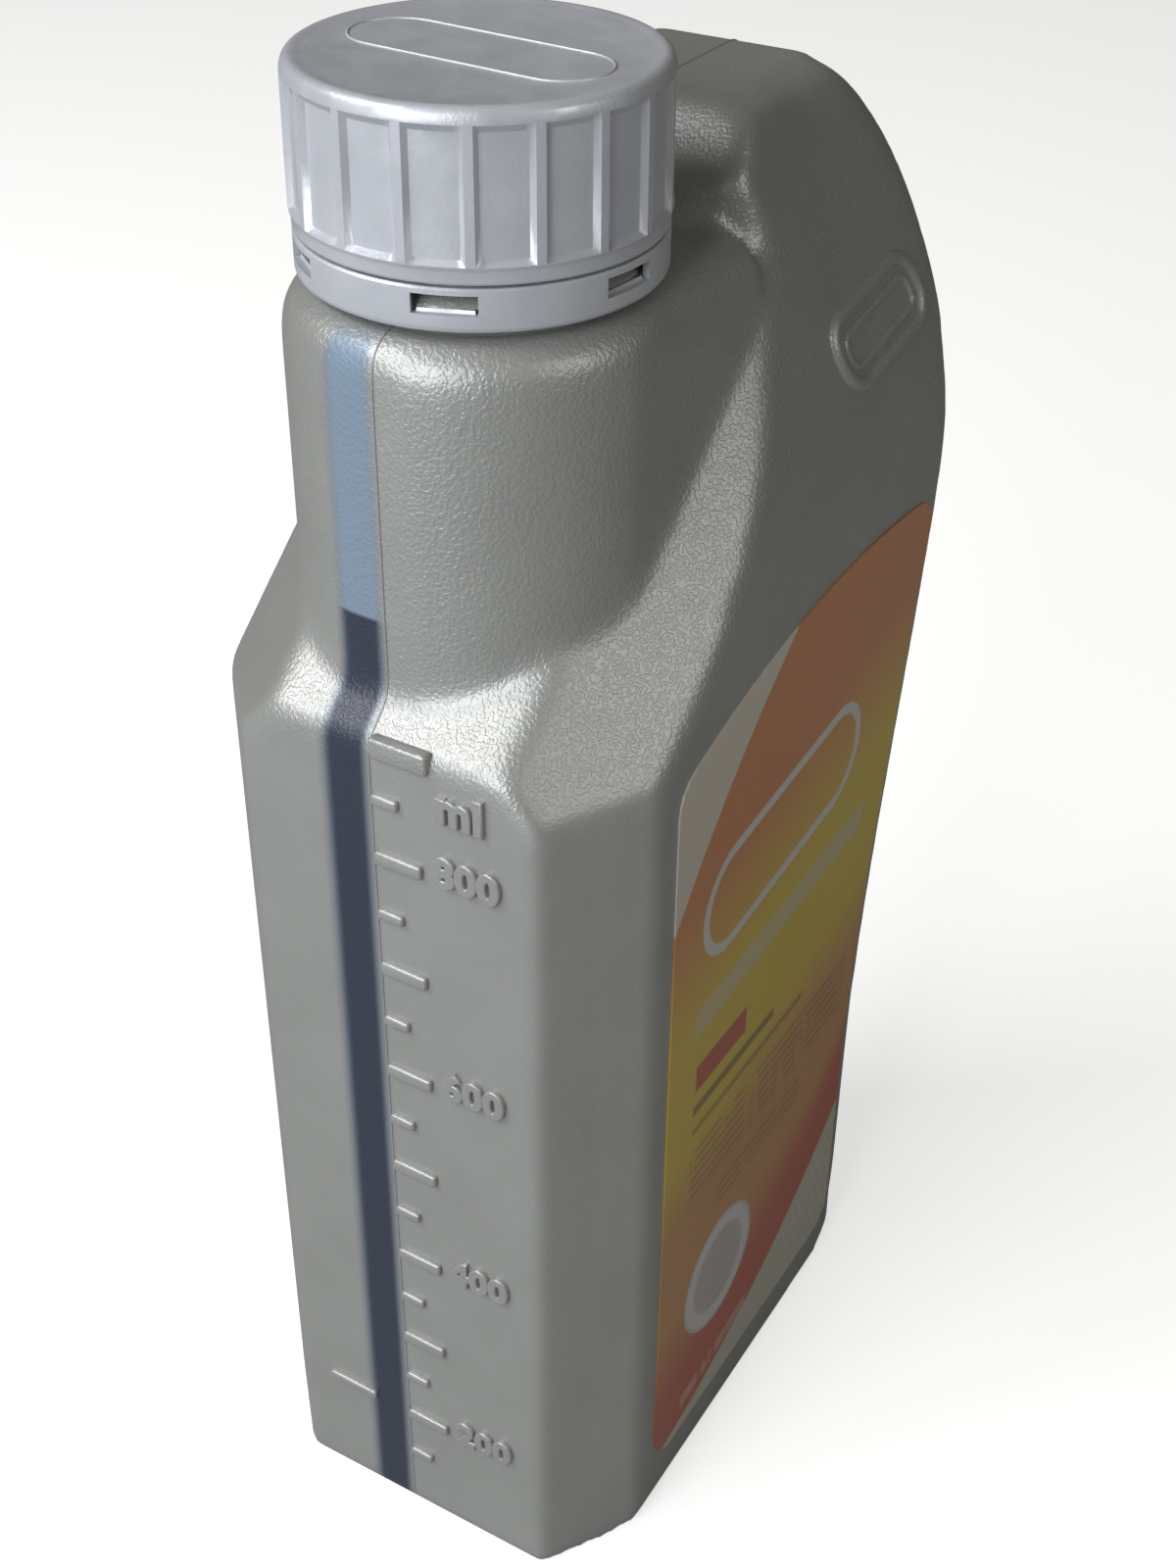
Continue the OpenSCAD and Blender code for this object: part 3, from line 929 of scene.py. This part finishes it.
CREAM = (0.62, 0.57, 0.49)
ORANGE = (0.56, 0.22, 0.085)
YELLOW = (0.60, 0.45, 0.06)
AMBER = (0.52, 0.27, 0.10)
RED = (0.47, 0.11, 0.07)
PALE = (0.50, 0.475, 0.40)
SILVER = (0.60, 0.58, 0.55)
INK = (0.16, 0.09, 0.05)
BLACK = (0.05, 0.05, 0.05)
HATCH = (0.66, 0.36, 0.2)
GOLD = (0.56, 0.47, 0.25)
SEAL = (0.50, 0.46, 0.45)
SEAL_RING = (0.62, 0.60, 0.60)
SEAL_INK = (0.26, 0.24, 0.27)
STREAK = (0.60, 0.58, 0.52)
FOOT_INK = (0.62, 0.40, 0.33)
CODE_GROUND = (0.82, 0.82, 0.80)
FIELD_H = 160
OVAL_AT = (54.4, 119.5)
OVAL_HALF = 16.5
LINE_PITCH = 1.9
BACK_PITCH = 2.1
front_finish, u, w = film("front print")
field = fade((w - 0.22 * (u - 20)) / FIELD_H, [
    (0.14, RED), (0.25, AMBER), (0.38, AMBER), (0.47, YELLOW), (0.62, YELLOW), (0.76, ORANGE), (0.9, ORANGE)])
hatch_r = distance(u, w, (142, 28))
hatch = stripes(hatch_r, 1.3).above(0.2, 0.8) * u.below(38, 26) * w.between(88, 130, 24)
colour = (hatch * 0.28).blend(field, HATCH)
sweep_r = distance(u, w, (8, 129))
colour = (sweep_r.above(107, 12)).blend(colour, RED)
colour = hatch_r.above(153.5, 0.5).blend(colour, CREAM)
past_straight = (u - OVAL_AT[0]).size() - OVAL_HALF
oval_r = distance(past_straight.math("MAXIMUM", past_straight, 0), w - 0.1 * (u - 54), (0, OVAL_AT[1]))
colour = oval_r.between(7.2, 9.0, 0.4).blend(colour, SILVER)
colour = bar(u, w - 0.06 * (u - 28), 28, 84, 97.5, 102.5).blend(colour, GOLD)
colour = bar(u, w, 29, 45, 86.5, 91.5).blend(colour, RED)
colour = (bar(u, w, 28.5, 55, 82, 83.8) * 0.7).blend(colour, INK)
colour = (bar(u, w, 28.5, 66, 77.8, 79.2) * 0.5).blend(colour, INK)
lines = stripes(w - 60, LINE_PITCH).above(0.0, 0.5)
ragged = front_finish.noise(2.6, stretch=(1, 1, 0.2)).above(0.42, 0.1)
rows = lines * ragged * (bar(u, w, 28.5, 83, 62.5, 74.2) + bar(u, w, 37, 68, 54.5, 60.2))
colour = (rows * 0.4).blend(colour, INK)
seal_r = distance(u, w, (40.5, 38.4))
colour = seal_r.below(11.6, 0.4).blend(colour, SEAL)
colour = seal_r.between(8.4, 10.9, 0.4).blend(colour, SEAL_RING)
colour = (seal_r.below(7.6, 0.4) * lines * 0.35).blend(colour, SEAL_INK)
colour = sweep_r.above(119, 0.5).blend(colour, PALE)
streaks = stripes(u * 0.9 + w * 0.45, 2.1).above(0.55, 0.5) * u.above(66, 12) * sweep_r.above(121, 3)
colour = (streaks * 0.4).blend(colour, STREAK)
colour = (bar(u, w - 0.14 * (u - 29), 29, 52, 14.6, 17.4) * ragged * 0.6).blend(colour, FOOT_INK)
front_finish.feed("Base Color", colour)
dress("front_label", front_finish)

back_finish, u, w = film("back print")
field = fade(w / FIELD_H, [
    (0.1, RED), (0.24, AMBER), (0.45, YELLOW), (0.6, YELLOW), (0.78, ORANGE), (0.9, ORANGE)])
panel = u.between(28, 82, 0.4) * w.between(40, 132, 0.4)
colour = (panel * 0.85).blend(field, CREAM)
rows = stripes(w, BACK_PITCH).above(0.1, 0.5)
ragged = back_finish.noise(2.6, stretch=(1, 1, 0.2)).above(0.44, 0.1)
text = rows * ragged * (bar(u, w, 31, 79, 92, 127) + bar(u, w, 31, 60, 62, 88) + bar(u, w, 31, 79, 43, 58))
colour = (text * 0.75).blend(colour, INK)
code = stripes(u, 1.15) + stripes(u, 2.9)
colour = bar(u, w, 63.5, 79.5, 63, 86).blend(colour, CODE_GROUND)
colour = (bar(u, w, 65, 78, 65, 84.5) * code.above(0.2, 0.2)).blend(colour, BLACK)
colour = w.below(22, 0.5).blend(colour, PALE)
back_finish.feed("Base Color", colour)
dress("back_label", back_finish)
